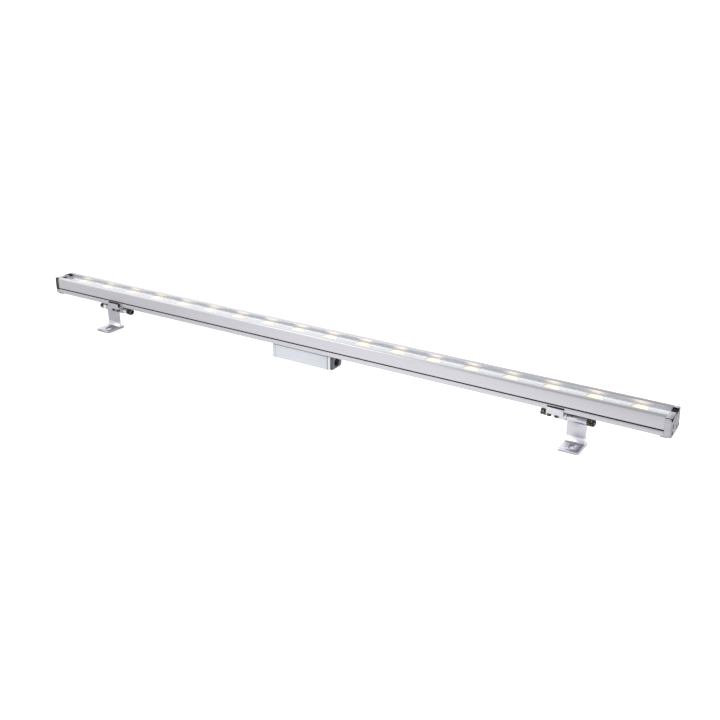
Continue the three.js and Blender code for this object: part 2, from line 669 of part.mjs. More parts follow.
// Knurled socket-head screw along Z, head down, with the head's seat at z = 0.
function jawScrew() {
  const head = 3.2;
  const core = prismZ(circle(0, 0, 2.7, 16), -head, 0);
  const knurled = prismZ(knurledCircle(3.05, 0.3, 16), -head + 0.5, -0.4);
  const shank = prismZ(circle(0, 0, 1.5, 12), -SINK, TOE_BOTTOM - JAW_BOTTOM + 1.3);
  return core.add(knurled).add(shank).subtract(prismZ(circle(0, 0, 1.4, 6), -head - 1, -head + 1.6));
}

// A circle with teeth of the given depth.
function knurledCircle(radius, depth, teeth) {
  const outline = [];
  for (let i = 0; i < teeth * 2; i += 1) {
    const angle = (i / (teeth * 2)) * 2 * Math.PI;
    const reach = i % 2 ? radius : radius - depth;
    outline.push([reach * Math.cos(angle), reach * Math.sin(angle)]);
  }
  return outline;
}

// ---------- Pivot hardware ----------
// The bolt's head is at its +X end on both clamps.

const BUSH_LENGTH = 9.5;
const SPACER_LENGTH = 6;
const NUT_LENGTH = 7.5;
const HEAD_LENGTH = 9.4;
const HEAD_RADIUS = 5.1;
const KNURL_TEETH = 20;
const KNURL_DEPTH = 0.5;

function ring(x1, x2, outer, inner, segments = 20) {
  return prismX(circle(0, 0, outer, segments), x1, x2, [circle(0, 0, inner, segments)]);
}

// Plain core of the bolt head, which shows beyond the knurling at both ends.
function headCore(x1, x2, radius) {
  return turnedX([[x1, 0], [x1, radius], [x2 - 0.6, radius], [x2, radius - 0.6], [x2, 0]], 24);
}

function pivotBolt(headSeat, shankEnd) {
  const headEnd = headSeat + HEAD_LENGTH;
  const head = prismX(knurledCircle(HEAD_RADIUS, KNURL_DEPTH, KNURL_TEETH), headSeat + 0.8, headEnd - 0.8);
  const core = headCore(headSeat, headEnd, HEAD_RADIUS - 0.5);
  const shank = prismX(circle(0, 0, PIVOT_RADIUS, 20), shankEnd, headSeat + SINK);
  const socket = prismX(circle(0, 0, 2.9, 6), headEnd - 4, headEnd + 1);
  return head.add(core).add(shank).subtract(socket);
}

function pivotNut(open, closed) {
  const towards = Math.sign(closed - open);
  const nut = prismX(circle(0, 0, 4.4, 6), open, closed);
  return nut.subtract(prismX(circle(0, 0, PIVOT_RADIUS + GAP, 16), open - towards, closed - towards * 1.5));
}

function pivotStack(side) {
  const lugs = side > 0 ? [LUG_IN, BARREL_OUT] : [-BARREL_OUT, -LUG_IN];
  const bushStart = side > 0 ? lugs[0] - GAP - BUSH_LENGTH : lugs[1] + GAP;
  const bush = [bushStart, bushStart + BUSH_LENGTH];
  const low = Math.min(lugs[0], bush[0]);
  const high = Math.max(lugs[1], bush[1]);
  const spacer = [low - GAP - SPACER_LENGTH, low - GAP];
  const nut = [spacer[0] - GAP, spacer[0] - GAP - NUT_LENGTH];
  return { bush, spacer, nut, headSeat: high + GAP };
}

// ---------- Foot bracket ----------

const TOE_RADIUS = 1.2;
const FILLET_REACH = 4.2;
const FILLET_HEIGHT = 7.5;
const FOOT_TOP = FOOT_BOTTOM + FOOT_THICKNESS;

// Drawn in (y, z) with the pivot at the origin.
function footSection() {
  const top = FOOT_TOP - PIVOT_Z;
  const bottom = FOOT_BOTTOM - PIVOT_Z;
  const front = [];
  for (let i = 0; i <= 6; i += 1) {
    const angle = (i / 6) * (Math.PI / 2);
    front.push([
      PLATE_FRONT - FILLET_REACH * (1 - Math.cos(angle)),
      top + FILLET_HEIGHT * (1 - Math.sin(angle)),
    ]);
  }
  const heelRadius = FOOT_THICKNESS / 2;
  const startAngle = 180 + THREE.MathUtils.radToDeg(Math.acos(-PLATE_FRONT / BARREL_RADIUS));
  const endAngle = 360 - THREE.MathUtils.radToDeg(Math.acos(PLATE_BACK / BARREL_RADIUS));
  return [
    ...arc(0, 0, BARREL_RADIUS, endAngle, startAngle + 360, 20),
    ...front,
    ...arc(FOOT_FRONT + TOE_RADIUS, top - TOE_RADIUS, TOE_RADIUS, 90, 180, 3),
    ...arc(FOOT_FRONT + TOE_RADIUS, bottom + TOE_RADIUS, TOE_RADIUS, 180, 270, 3),
    ...arc(FOOT_HEEL - heelRadius, (top + bottom) / 2, heelRadius, 270, 450, 6),
    ...arc(PLATE_BACK + 1.5, top + 1.5, 1.5, 270, 180, 3),
  ];
}

function footBracket(x1, x2) {
  const bore = circle(0, 0, PIVOT_BORE_RADIUS, 20);
  const bracket = prismX(footSection(), x1, x2, [bore]);
  const top = FOOT_TOP - PIVOT_Z;
  const bottom = FOOT_BOTTOM - PIVOT_Z;
  const slot = slotOutline((x1 + x2) / 2, SLOT_CENTRE_Y, SLOT_WIDTH, SLOT_LENGTH);
  return bracket.subtract(prismZ(slot, bottom - 1, top + 1));
}

function addBracket({ name, centreX, side }) {
  const clamp = new THREE.Group();
  clamp.position.x = centreX;
  batten.add(clamp);
  addMesh(clamp, `${name}_clamp_liner`, clampLiner(), 'blackRubber');
  addMesh(clamp, `${name}_rear_jaw`, rearJaw(side), 'bracketAluminium');
  addMesh(clamp, `${name}_front_jaw`, frontJaw(side), 'bracketAluminium');
  JAW_SCREW_OFFSETS.forEach((offset, index) => {
    const screw = addMesh(clamp, `${name}_jaw_screw_${index + 1}`, jawScrew(), 'blackSteel');
    screw.position.set(side * offset, JAW_SCREW_Y, JAW_BOTTOM - GAP);
  });
  const pivot = new THREE.Group();
  pivot.position.z = PIVOT_Z;
  clamp.add(pivot);
  const { bush, spacer, nut, headSeat } = pivotStack(side);
  addMesh(pivot, `${name}_pivot_bolt`, pivotBolt(headSeat, nut[1] + 2), 'blackSteel');
  addMesh(pivot, `${name}_pivot_nut`, pivotNut(nut[0], nut[1]), 'blackSteel');
  addMesh(pivot, `${name}_pivot_spacer`, ring(spacer[0], spacer[1], 4.4, PIVOT_RADIUS + GAP), 'zincSteel');
  addMesh(pivot, `${name}_pivot_bush`, ring(bush[0], bush[1], 4.3, PIVOT_RADIUS + GAP), 'zincSteel');
  const ends = [side * BARREL_IN, side * BARREL_OUT].sort((a, b) => a - b);
  addMesh(pivot, `${name}_foot_bracket`, footBracket(ends[0], ends[1]), 'bracketAluminium');
}

// ---------- The whole batten ----------

addMesh(batten, 'profile', profile(), 'anodised');
addMesh(batten, 'window_pane', windowPane(), 'glass');
addMesh(batten, 'window_gasket', windowGasket(), 'blackRubber');
addMesh(batten, 'reflector_tray', reflectorTray(), 'whitePlastic');
for (let i = 0; i < BOARD_COUNT; i += 1) {
  addMesh(batten, `led_board_${i + 1}`, ledBoard(i), 'circuitBoard');
}
for (let i = 0; i < LED_COUNT; i += 1) {
  const lens = addMesh(batten, `lens_${String(i + 1).padStart(2, '0')}`, lensGeometry(), 'lensClear');
  lens.position.x = ledX(i);
}
addEnd('right', 1);
addEnd('left', -1);
addMesh(batten, 'vent_plug', ventPlug(), 'blackPlastic');
addBox();
for (const bracket of BRACKETS) {
  addBracket(bracket);
}

batten.position.set(0, -(FOOT_FRONT + JAW_OUTER) / 2, -FOOT_BOTTOM);

export default batten;
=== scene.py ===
import json
import math

import bmesh
import bpy
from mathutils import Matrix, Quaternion, Vector


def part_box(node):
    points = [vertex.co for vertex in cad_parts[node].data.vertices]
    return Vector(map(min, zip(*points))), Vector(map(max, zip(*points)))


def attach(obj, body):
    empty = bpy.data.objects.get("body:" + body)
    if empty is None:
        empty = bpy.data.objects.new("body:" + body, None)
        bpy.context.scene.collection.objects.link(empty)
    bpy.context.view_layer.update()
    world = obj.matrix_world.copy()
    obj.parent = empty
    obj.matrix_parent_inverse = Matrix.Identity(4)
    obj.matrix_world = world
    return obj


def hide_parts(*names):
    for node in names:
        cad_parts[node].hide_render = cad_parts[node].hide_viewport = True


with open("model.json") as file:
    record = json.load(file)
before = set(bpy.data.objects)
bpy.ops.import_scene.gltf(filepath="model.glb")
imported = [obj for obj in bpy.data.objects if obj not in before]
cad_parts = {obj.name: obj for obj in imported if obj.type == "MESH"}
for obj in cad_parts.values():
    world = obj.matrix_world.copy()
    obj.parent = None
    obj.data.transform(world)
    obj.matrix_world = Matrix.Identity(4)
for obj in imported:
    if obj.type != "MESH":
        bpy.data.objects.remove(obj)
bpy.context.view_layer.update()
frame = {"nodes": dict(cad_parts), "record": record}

NODES = frame["nodes"]
MM = 0.001

# ---------- Places taken from the frame ----------

PROFILE_LOW, PROFILE_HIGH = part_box("profile")
TOP = PROFILE_HIGH.z
MIDDLE_Y = (PROFILE_LOW.y + PROFILE_HIGH.y) / 2
CAP_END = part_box("right_end_cap")[1].x
HOUSING_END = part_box("box_housing")[1].x
WINDOW_HALF = 12.3 * MM
GROOVE_LOW = TOP - 18.65 * MM
GROOVE_HIGH = TOP - 16.75 * MM
LENS_NODES = sorted(name for name in NODES if name.startswith("lens_"))


def centre(node):
    low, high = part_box(node)
    return (low + high) / 2


FIRST_LED_X = centre("lens_01").x
LED_PITCH = centre("lens_02").x - FIRST_LED_X
LENS_RADIUS = 11 * MM


# ---------- Camera ----------

AZIMUTH = math.radians(31.404)
ELEVATION = math.radians(22.013)
ROLL = math.radians(0.384)
DISTANCE = 1.25745
FOCAL_MM = 44.96
AIM = Vector((0.08124, MIDDLE_Y, TOP - 0.0281))


def add_camera():
    camera = bpy.data.objects.new("camera", bpy.data.cameras.new("camera"))
    camera.data.sensor_width = 36
    camera.data.lens = FOCAL_MM
    camera.data.clip_end = 50
    back = Vector((
        math.sin(AZIMUTH) * math.cos(ELEVATION),
        -math.cos(AZIMUTH) * math.cos(ELEVATION),
        math.sin(ELEVATION),
    ))
    camera.location = AIM + back * DISTANCE
    camera.rotation_mode = "QUATERNION"
    camera.rotation_quaternion = (-back).to_track_quat("-Z", "Y") @ Quaternion((0, 0, 1), ROLL)
    bpy.context.scene.collection.objects.link(camera)
    bpy.context.scene.camera = camera


# ---------- Node helpers ----------


class Nodes:
    """Short ways to add nodes to a node tree. A value may be a socket or numbers."""

    def __init__(self, tree):
        self.tree = tree

    def node(self, kind, inputs=None, **settings):
        node = self.tree.nodes.new(kind)
        for key, value in settings.items():
            setattr(node, key, value)
        for key, value in (inputs or {}).items():
            if isinstance(value, bpy.types.NodeSocket):
                self.tree.links.new(value, node.inputs[key])
            else:
                node.inputs[key].default_value = value
        return node

    def calculate(self, operation, *values):
        return self.node("ShaderNodeMath", dict(enumerate(values)), operation=operation).outputs[0]

    def add(self, first, second):
        return self.calculate("ADD", first, second)

    def multiply(self, *values):
        product = values[0]
        for value in values[1:]:
            product = self.calculate("MULTIPLY", product, value)
        return product

    def above(self, value, edge):
        return self.calculate("GREATER_THAN", value, edge)

    def below(self, value, edge):
        return self.calculate("LESS_THAN", value, edge)

    def between(self, value, low, high):
        """1 where the value lies between two edges, else 0."""
        return self.multiply(self.above(value, low), self.below(value, high))

    def map(self, value, source, target, interpolation="LINEAR"):
        """Maps one pair of values to another, and holds the ends."""
        return self.node("ShaderNodeMapRange", {
            "Value": value, "From Min": source[0], "From Max": source[1],
            "To Min": target[0], "To Max": target[1],
        }, interpolation_type=interpolation).outputs["Result"]

    def length(self, vector):
        return self.node("ShaderNodeVectorMath", {0: vector}, operation="LENGTH").outputs["Value"]

    def world(self, axis):
        """A coordinate in the batten's frame, for the luminaire, which never moves."""
        place = self.node("ShaderNodeNewGeometry").outputs["Position"]
        return self.node("ShaderNodeSeparateXYZ", {0: place}).outputs[axis]

    def blend(self, factor, first, second):
        """Blends two values."""
        return self.node("ShaderNodeMix", {
            "Factor": factor, "A": first, "B": second}, data_type="FLOAT").outputs["Result"]

    def mix(self, factor, first, second):
        """Blends two colours."""
        ends = [value if isinstance(value, bpy.types.NodeSocket) else (*value, 1)
                for value in (first, second)]
        return self.node("ShaderNodeMix", {
            "Factor": factor, "A": ends[0], "B": ends[1]}, data_type="RGBA").outputs["Result"]


class Shader(Nodes):
    """A material with one Principled shader."""

    def __init__(self, name, **values):
        self.material = bpy.data.materials.new(name)
        self.material.use_nodes = True
        super().__init__(self.material.node_tree)
        self.base = self.tree.nodes["Principled BSDF"]
        for key, value in values.items():
            self.set(key.replace("_", " "), value)

    def set(self, socket, value):
        entry = self.base.inputs[socket]
        if isinstance(value, bpy.types.NodeSocket):
            self.tree.links.new(value, entry)
        elif entry.type == "RGBA":
            entry.default_value = (*value, 1)
        else:
            entry.default_value = value

    def own_coordinates(self):
        """Coordinates of the piece itself, which move with it."""
        return self.node("ShaderNodeTexCoord").outputs["Object"]

    def noise(self, scale, detail=3, roughness=0.55):
        """Noise whose grains are 1/scale metres across, with a scale for each axis."""
        place = self.node("ShaderNodeMapping", {
            "Vector": self.own_coordinates(), "Scale": scale}).outputs["Vector"]
        return self.node("ShaderNodeTexNoise", {
            "Vector": place, "Scale": 1, "Detail": detail, "Roughness": roughness}).outputs["Fac"]

    def ramp(self, factor, stops):
        node = self.node("ShaderNodeValToRGB", {"Fac": factor})
        while len(node.color_ramp.elements) < len(stops):
            node.color_ramp.elements.new(0.5)
        for element, (place, colour) in zip(node.color_ramp.elements, stops):
            element.position = place
            element.color = (*colour, 1)
        return node.outputs["Color"]

    def spread(self, noise, low, high):
        """Spreads the middle of a noise over two values."""
        return self.map(noise, (0.3, 0.7), (low, high))

    def bump(self, height, strength, distance):
        normal = self.node("ShaderNodeBump", {
            "Height": height, "Strength": strength, "Distance": distance})
        self.set("Normal", normal.outputs["Normal"])

    def from_middle(self):
        """Distance along X from the batten's middle."""
        return self.calculate("ABSOLUTE", self.world("X"))

    def across(self):
        """Distance along Y from the batten's middle plane."""
        return self.calculate("ABSOLUTE", self.add(self.world("Y"), -MIDDLE_Y))

    def inside(self, low, high, reach):
        """1 between two heights and within a reach of the middle plane, else 0."""
        return self.multiply(self.between(self.world("Z"), low, high), self.below(self.across(), reach))

    def beside_leds(self, core, reach):
        """1 beside every LED, fading to 0 at a reach along X."""
        along = self.calculate("PINGPONG", self.add(self.world("X"), -FIRST_LED_X), LED_PITCH / 2)
        return self.map(along, (core, reach), (1.0, 0.0), "SMOOTHSTEP")

    def disc_at_leds(self, shift_x, shift_y, core, reach, interpolation="LINEAR"):
        """1 in a disc at every LED, fading to 0 at a reach, with its centre shifted."""
        from_first = self.add(self.world("X"), -FIRST_LED_X - shift_x)
        along = self.calculate("WRAP", from_first, LED_PITCH / 2, -LED_PITCH / 2)
        aside = self.add(self.world("Y"), -MIDDLE_Y - shift_y)
        flat = self.node("ShaderNodeCombineXYZ", {"X": along, "Y": aside}).outputs["Vector"]
        return self.map(self.length(flat), (core, reach), (1.0, 0.0), interpolation)

    def occlusion_shade(self, colour, reach, dark):
        """Painted shade: darkens narrow recesses by how little open sky they see."""
        open_sky = self.node("ShaderNodeAmbientOcclusion", {"Distance": reach}, samples=8).outputs["AO"]
        return self.mix(self.map(open_sky, (0.35, 0.92), (0.0, 1.0)), dark, colour)


def tint(colour, factor):
    return tuple(min(1, channel * factor) for channel in colour)


# ---------- Materials ----------

WARM_LIGHT = (1.0, 0.93, 0.76)
COOL_LIGHT = (0.9, 0.95, 1.0)
HOLLOW_BLACK = (0.012, 0.011, 0.01)

# Places that tell the faces of the profile apart: heights, and reaches from the middle plane.
FLANGE_SKIN = TOP - 0.2 * MM
CORNER_LOW = TOP - 1.3 * MM
CORNER_INNER = WINDOW_HALF + 4 * MM
WALL_LOW = TOP - 4.6 * MM
WALL_HIGH = TOP - 0.4 * MM
WALL_REACH = WINDOW_HALF + 0.1 * MM
CHAMBER_LOW = TOP - 15.6 * MM
CHAMBER_REACH = WINDOW_HALF + 2 * MM
GROOVE_REACH = PROFILE_HIGH.y - MIDDLE_Y - 0.15 * MM

# The same for the caps, whose FACE and FLOOR are distances from the batten's middle along X.
CAP_START = PROFILE_HIGH.x
CAP_FACE = CAP_END - 1.3 * MM
CAP_RELIEF_FLOOR = CAP_END - 5.6 * MM
CAP_INSIDE_LOW = TOP - 24.5 * MM
CAP_INSIDE_REACH = 17.65 * MM
CAP_HOLE_FACE = CAP_END - 0.5 * MM
CAP_HOLE_HIGH = TOP - 9.4 * MM
BRIDGE_GAP_LOW = TOP - 2.1 * MM
BRIDGE_GAP_HIGH = TOP - 1.1 * MM
REFLECTION_FRONT = PROFILE_LOW.y + 2.8 * MM
REFLECTION_LOW = GROOVE_LOW - 1 * MM
POCKET_START = CAP_END - 8.5 * MM
POCKET_LOW = TOP - 3 * MM
POCKET_HIGH = TOP + 1 * MM
POCKET_FRONT = MIDDLE_Y - 1.5 * MM
POCKET_BACK = MIDDLE_Y + WINDOW_HALF + 0.3 * MM

# The same for the feet, the driver box and the seals.
BEND_LOW = 3.6 * MM
BEND_HIGH = 10.6 * MM
COVER_START = HOUSING_END + 0.8 * MM
SEAM_HALF = 0.9 * MM
SEAL_LOW = TOP - 5.6 * MM
SEAL_REACH = WINDOW_HALF + 2.6 * MM
SEAL_END = CAP_START + 0.2 * MM
GREY_BACK = MIDDLE_Y + 5.5 * MM


def extruded_aluminium(name, colour, roughness, add_painted_light=None):
    """Satin anodised metal with the faint long die lines of an extrusion along X, and any painted light
    and shade that the added step puts over it.
    """
    shader = Shader(name, Metallic=1.0)
    lines = shader.noise((1.5, 1100, 1100), 4, 0.6)
    clouds = shader.noise((9, 60, 60), 2)
    speckle = shader.noise((5200, 5200, 5200), 2)
    mixed = shader.add(shader.multiply(lines, 0.5), shader.multiply(clouds, 0.5))
    metal = shader.ramp(mixed, [(0.3, tint(colour, 0.94)), (0.7, tint(colour, 1.04))])
    if add_painted_light:
        metal = add_painted_light(shader, metal, colour)
    shader.set("Base Color", metal)
    shader.set("Roughness", shader.spread(mixed, roughness - 0.06, roughness + 0.06))
    shader.bump(shader.add(shader.multiply(lines, 0.7), shader.multiply(speckle, 0.3)), 0.12, 0.1 * MM)
    return shader.material


def bracket_painted_light(shader, metal, colour):
    """A painted highlight on the bend above the foot, and painted shade that makes the left bracket a
    little darker.
    """
    height = shader.node("ShaderNodeSeparateXYZ", {0: shader.own_coordinates()}).outputs["Z"]
    # Painted highlight: the bend above the foot is made lighter.
    metal = shader.mix(shader.between(height, BEND_LOW, BEND_HIGH), metal, tint(colour, 1.5))
    # Painted shade: the left bracket is made darker.
    left = shader.below(shader.world("X"), 0)
    return shader.node("ShaderNodeVectorMath", {
        0: metal, "Scale": shader.blend(left, 1.0, 0.78)}, operation="SCALE").outputs["Vector"]


def profile_painted_light(shader, metal, colour):
    """Painted shade on the flange tops, painted highlights on the outer corners, painted shade in the
    side grooves and a painted glow of the LEDs' light inside.
    """
    # Painted shade: the flange tops are made darker.
    flange = shader.above(shader.world("Z"), FLANGE_SKIN)
    metal = shader.mix(flange, metal, tint(colour, 0.86))
    # Painted highlight along the outer top corners.
    corner = shader.multiply(shader.between(shader.world("Z"), CORNER_LOW, FLANGE_SKIN),
                             shader.above(shader.across(), CORNER_INNER))
    metal = shader.mix(corner, metal, tint(colour, 1.22))
    # Painted shade: the side grooves are painted nearly black.
    metal = shader.mix(shader.inside(GROOVE_LOW, GROOVE_HIGH, GROOVE_REACH), metal, (0.05, 0.05, 0.055))
    near_led = shader.beside_leds(1 * MM, 16 * MM)
    wall = shader.inside(WALL_LOW, WALL_HIGH, WALL_REACH)
    chamber = shader.inside(CHAMBER_LOW, WALL_LOW, CHAMBER_REACH)
    # Painted glow: the inner wall and the chamber glow with the LEDs' light, though they are no lamp.
    shader.set("Emission Color", shader.mix(near_led, COOL_LIGHT, WARM_LIGHT))
    painted_wall_glow = shader.multiply(wall, shader.add(shader.multiply(near_led, 0.35), 0.24))
    shader.set("Emission Strength", shader.add(painted_wall_glow, shader.multiply(chamber, 0.6)))
    return metal


def left_cap_dark_reflection(shader):
    """The front of the left cap, down to the side groove, where a dark reflection is painted."""
    return shader.multiply(
        shader.below(shader.world("X"), -CAP_START),
        shader.below(shader.world("Y"), REFLECTION_FRONT),
        shader.above(shader.world("Z"), REFLECTION_LOW))


def cap_relief_shade(shader):
    """Whatever is cut more than a little into the caps' end faces, which gets painted shade."""
    return shader.multiply(
        shader.between(shader.from_middle(), CAP_RELIEF_FLOOR, CAP_FACE),
        shader.inside(CAP_INSIDE_LOW, BRIDGE_GAP_LOW, CAP_INSIDE_REACH))


def cap_hole_shade(shader):
    """Walls of the slot and of the screw recesses, right up to the end face, which are painted black as
    shade.
    """
    return shader.multiply(
        shader.between(shader.from_middle(), CAP_RELIEF_FLOOR, CAP_HOLE_FACE),
        shader.inside(CAP_INSIDE_LOW, CAP_HOLE_HIGH, CAP_INSIDE_REACH))


def cap_pocket_shade(shader):
    """The wall round the right cap's pocket, painted black as shade."""
    return shader.multiply(
        shader.above(shader.world("X"), POCKET_START),
        shader.between(shader.world("Y"), POCKET_FRONT, POCKET_BACK),
        shader.between(shader.world("Z"), POCKET_LOW, POCKET_HIGH))


def blasted_casting(name, colour):
    """Die-cast aluminium, bead blasted: fine grain with slow changes of tone, with painted shade on the
    end faces, in the recesses, round the pocket and in the bridge gap, and a painted dark reflection on
    the left cap's front.
    """
    shader = Shader(name, Specular_IOR_Level=0.2)
    grain = shader.noise((2600, 2600, 2600), 3, 0.65)
    tone = shader.noise((120, 120, 120), 3)
    metal = shader.ramp(tone, [(0.3, tint(colour, 0.9)), (0.72, tint(colour, 1.06))])
    dark_reflection = left_cap_dark_reflection(shader)
    walls = cap_hole_shade(shader)
    pocket = cap_pocket_shade(shader)
    bridge_gap_shade = shader.between(shader.world("Z"), BRIDGE_GAP_LOW, BRIDGE_GAP_HIGH)
    # Painted shade: the caps' end faces are made darker.
    metal = shader.mix(shader.above(shader.from_middle(), CAP_FACE), metal, tint(colour, 0.8))
    # Painted reflection: the left cap's front is painted dark and dull.
    metal = shader.mix(dark_reflection, metal, (0.045, 0.04, 0.036))
    # Painted shade in the cuts of the end faces.
    metal = shader.mix(cap_relief_shade(shader), metal, (0.03, 0.026, 0.022))
    # Painted shade: the hole walls are painted black.
    metal = shader.mix(walls, metal, HOLLOW_BLACK)
    # Painted shade round the right cap's pocket.
    metal = shader.mix(pocket, metal, (0.008, 0.008, 0.009))
    # Painted shade in the gap under the bridge.
    metal = shader.mix(bridge_gap_shade, metal, (0.02, 0.02, 0.022))
    # Painted shade in narrow recesses.
    shader.set("Base Color", shader.occlusion_shade(metal, 5.5 * MM, (0.006, 0.006, 0.007)))
    dull = shader.calculate("MAXIMUM", shader.add(dark_reflection, walls), pocket)
    shader.set("Metallic", shader.blend(dull, 1.0, 0.0))
    shader.set("Roughness", shader.blend(dull, shader.spread(grain, 0.42, 0.6), 0.9))
    shader.bump(grain, 0.3, 0.12 * MM)
    return shader.material


def coated_metal(name, colour):
    """Bluish silver powder coat; the box's right cover is paler, with a dark seam."""
    shader = Shader(name, Metallic=0.35)
    peel = shader.noise((420, 420, 420), 2, 0.4)
    flake = shader.noise((4200, 4200, 4200), 2, 0.7)
    paint = shader.ramp(flake, [(0.32, tint(colour, 0.93)), (0.68, tint(colour, 1.05))])
    cover = shader.above(shader.world("X"), COVER_START)
    from_seam = shader.calculate("ABSOLUTE", shader.add(shader.world("X"), -HOUSING_END))
    paint = shader.mix(cover, paint, (0.5, 0.51, 0.53))
    paint = shader.mix(shader.below(from_seam, SEAM_HALF), paint, (0.2, 0.2, 0.21))
    shader.set("Base Color", paint)
    shader.set("Roughness", shader.spread(peel, 0.34, 0.48))
    shader.bump(shader.add(peel, shader.multiply(flake, 0.25)), 0.12, 0.2 * MM)
    return shader.material


def blackened_steel(name):
    """Black oxide steel, brownish where it is rubbed; the caps' screws are dull black."""
    shader = Shader(name, Specular_IOR_Level=0.2)
    blotch = shader.noise((700, 700, 700), 4, 0.6)
    grain = shader.noise((3800, 3800, 3800), 2)
    steel = shader.ramp(blotch, [
        (0.38, (0.008, 0.007, 0.006)), (0.53, (0.03, 0.025, 0.021)), (0.68, (0.34, 0.29, 0.24))])
    in_cap = shader.above(shader.from_middle(), CAP_START)
    shader.set("Base Color", shader.mix(in_cap, steel, HOLLOW_BLACK))
    shader.set("Metallic", shader.blend(in_cap, 0.9, 0.0))
    shader.set("Roughness", shader.blend(in_cap, shader.spread(grain, 0.2, 0.36), 0.8))
    shader.bump(grain, 0.2, 0.08 * MM)
    return shader.material


def plated_steel(name):
    """Zinc-plated steel with slightly cloudy patches."""
    shader = Shader(name, Metallic=1.0)
    patches = shader.noise((500, 500, 500), 3)
    shader.set("Base Color", shader.ramp(patches, [(0.3, (0.5, 0.5, 0.5)), (0.7, (0.66, 0.66, 0.65))]))
    shader.set("Roughness", shader.spread(patches, 0.26, 0.4))
    shader.bump(shader.noise((3000, 3000, 3000), 2), 0.1, 0.08 * MM)
    return shader.material


def rubber(name):
    """Black rubber, grey in the left cap; the window's seal is pale grey with a painted glow of the LEDs'
    light.
    """
    shader = Shader(name, Specular_IOR_Level=0.08, Emission_Color=(1.0, 0.72, 0.4))
    dust = shader.noise((900, 900, 900), 4, 0.6)
    black = shader.ramp(dust, [(0.35, (0.009, 0.009, 0.01)), (0.7, (0.03, 0.03, 0.032))])
    window_seal = shader.multiply(
        shader.inside(SEAL_LOW, TOP, SEAL_REACH),
        shader.below(shader.from_middle(), SEAL_END))
    # Grey over the left cap's rubber.
    left_cap_grey = shader.multiply(
        shader.below(shader.world("X"), -CAP_START),
        shader.below(shader.world("Y"), GREY_BACK))
    black = shader.mix(left_cap_grey, black, (0.4, 0.4, 0.42))
    shader.set("Base Color", shader.mix(window_seal, black, (0.5, 0.49, 0.53)))
    # Painted glow: the window's seal glows with the LEDs' light, though it is no lamp.
    glow = shader.multiply(window_seal, shader.beside_leds(1 * MM, 13 * MM), 0.25)
    shader.set("Emission Strength", glow)
    shader.set("Roughness", shader.spread(dust, 0.72, 0.9))
    shader.bump(dust, 0.3, 0.1 * MM)
    return shader.material


def moulded_plastic(name, colour, roughness, glow=0.0):
    """Injection-moulded plastic with a fine spark-eroded grain, and a painted glow where glow is set."""
    shader = Shader(name, Emission_Color=COOL_LIGHT, Emission_Strength=glow)
    texture = shader.noise((1800, 1800, 1800), 3, 0.6)
    shader.set("Base Color", shader.ramp(texture, [(0.3, tint(colour, 0.88)), (0.7, tint(colour, 1.08))]))
    shader.set("Roughness", shader.spread(texture, roughness - 0.07, roughness + 0.07))
    shader.bump(texture, 0.25, 0.1 * MM)
    return shader.material


def window_glass(name):
    """Toughened pane with dust and wiping marks, a painted glow over every LED and, at each lens, a
    painted tan crescent of shade from its rim, which is one disc less another beside it."""
    shader = Shader(name, IOR=1.5, Specular_IOR_Level=0.12)
    wipe = shader.noise((6, 90, 90), 4, 0.6)
    dust = shader.noise((2600, 2600, 2600), 2, 0.7)
    clear = shader.ramp(wipe, [(0.3, (0.82, 0.86, 0.88)), (0.7, (0.9, 0.92, 0.92))])
    # Painted shade: the tan crescent of each lens's rim.
    middle = shader.disc_at_leds(2.6 * MM, -1.8 * MM, 9.9 * MM, 11.1 * MM)
    whole = shader.disc_at_leds(0, 0, 10.2 * MM, 11.4 * MM)
    rim = shader.multiply(whole, shader.calculate("SUBTRACT", 1.0, middle))
    halo = shader.disc_at_leds(0, 0, 4 * MM, 12.5 * MM, "SMOOTHSTEP")
    shader.set("Base Color", shader.mix(rim, clear, (0.5, 0.4, 0.31)))
    # Painted glow: the pane glows over every LED and faintly all over, though it is no lamp.
    shader.set("Emission Color", shader.mix(halo, (0.95, 0.98, 1.0), (1.0, 0.93, 0.68)))
    shader.set("Emission Strength", shader.blend(rim, shader.add(shader.multiply(halo, 1.15), 0.2), 0.1))
    shader.set("Roughness", shader.spread(wipe, 0.1, 0.26))
    haze = shader.add(shader.multiply(wipe, 0.7), shader.multiply(dust, 0.3))
    shader.set("Alpha", shader.blend(rim, shader.spread(haze, 0.22, 0.3), 0.85))
    shader.bump(dust, 0.04, 0.05 * MM)
    return shader.material


def lit_lens(name):
    """Acrylic lens lit from behind: a warm white middle, a dark tan ring and a pale rim."""
    shader = Shader(name, Roughness=0.12, Emission_Strength=1.1)
    coordinates = shader.own_coordinates()
    flat = shader.node("ShaderNodeVectorMath", {0: coordinates, 1: (1, 1, 0)}, operation="MULTIPLY")
    radius = shader.multiply(shader.length(flat.outputs["Vector"]), 1 / LENS_RADIUS)
    rings = shader.node("ShaderNodeTexWave", {
        "Vector": coordinates, "Scale": 320, "Distortion": 0.0,
    }, wave_type="RINGS", rings_direction="Z").outputs["Fac"]
    shader.set("Emission Color", shader.ramp(radius, [
        (0.0, (1.0, 0.96, 0.8)), (0.64, (1.0, 0.94, 0.72)), (0.67, (0.05, 0.022, 0.008)),
        (0.84, (0.07, 0.035, 0.015)), (0.87, (0.5, 0.44, 0.32)), (1.0, (0.42, 0.4, 0.34))]))
    shader.set("Base Color", shader.ramp(radius, [
        (0.0, (0.9, 0.87, 0.8)), (0.64, (0.9, 0.85, 0.75)), (0.67, (0.3, 0.16, 0.08)),
        (0.84, (0.34, 0.2, 0.11)), (0.87, (0.75, 0.7, 0.6)), (1.0, (0.7, 0.68, 0.62))]))
    shader.bump(rings, 0.2, 0.2 * MM)
    return shader.material


